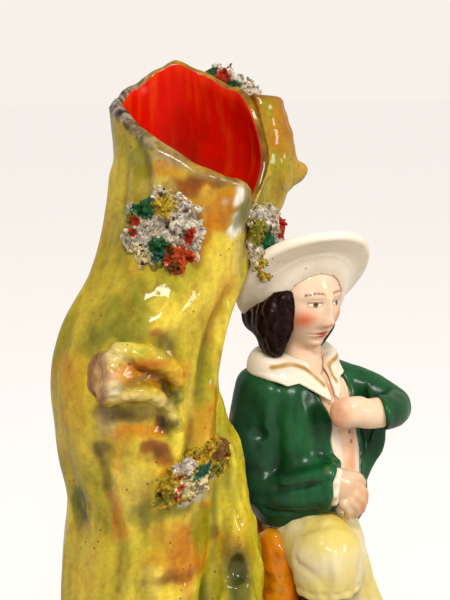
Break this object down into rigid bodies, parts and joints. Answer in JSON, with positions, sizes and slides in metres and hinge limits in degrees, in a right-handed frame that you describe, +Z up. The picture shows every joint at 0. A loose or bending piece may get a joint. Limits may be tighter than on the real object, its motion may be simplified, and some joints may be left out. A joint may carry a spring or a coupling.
{
  "type": "figural spill vase",
  "caption": "Glazed pottery spill vase: a hollow tree trunk with a slanting mouth, beside it a seated boy in a broad hat, on an oval mound.",
  "frame": {"origin": "middle of the bounding box's bottom face, on the surface that the vase stands on", "axes": "+Z up, +X towards the seated boy's side, -Y the front, the way that the boy looks"},
  "size_m": [0.094, 0.0618, 0.1762],
  "materials": {
    "bark": "glossy glaze over dabbed olive, amber and green; vermilion red inside the mouth",
    "bough": "glossy amber glaze, yellow-green lower down",
    "root": "glossy yellow-green glaze",
    "rock": "glossy orange glaze",
    "mound": "glossy ochre and green glaze, bare at the foot ring",
    "moss": "shredded clay, partly glazed, dabbed white, green, red and mustard",
    "coat": "glossy dark green enamel with brush marks",
    "waistcoat": "glossy pink-flesh enamel with dark dot buttons",
    "shirt": "glossy white glaze with a thin gold-brown line",
    "flesh": "glossy cream glaze tinted pink",
    "breeches": "glossy pale yellow glaze",
    "boot": "glossy dark brown enamel",
    "hair": "glossy brown-black enamel in thin strokes",
    "hat": "glossy off-white glaze with tiny brown specks"
  },
  "bodies": {
    "root": {"base_mound": "mound", "tree_trunk": "bark", "trunk_knot": "bark", "root_buttress": "root", "branch_stump": "bough", "rock_seat": "rock", "coat_body": "coat", "waistcoat": "waistcoat", "sleeve_right": "coat", "sleeve_left": "coat", "forearm_left": "flesh", "coat_flap_left": "coat", "hand_right": "flesh", "boot_right": "boot", "boot_left": "boot", "breeches_right": "breeches", "breeches_left": "breeches", "hat": "hat", "head": "flesh", "hair_right": "hair", "hair_left": "hair", "collar_right": "shirt", "collar_left": "shirt", "moss_front_upper": "moss", "moss_front_lower": "moss", "moss_rim_back": "moss", "moss_side": "moss", "moss_seat_back": "moss"}
  },
  "joints": []
}
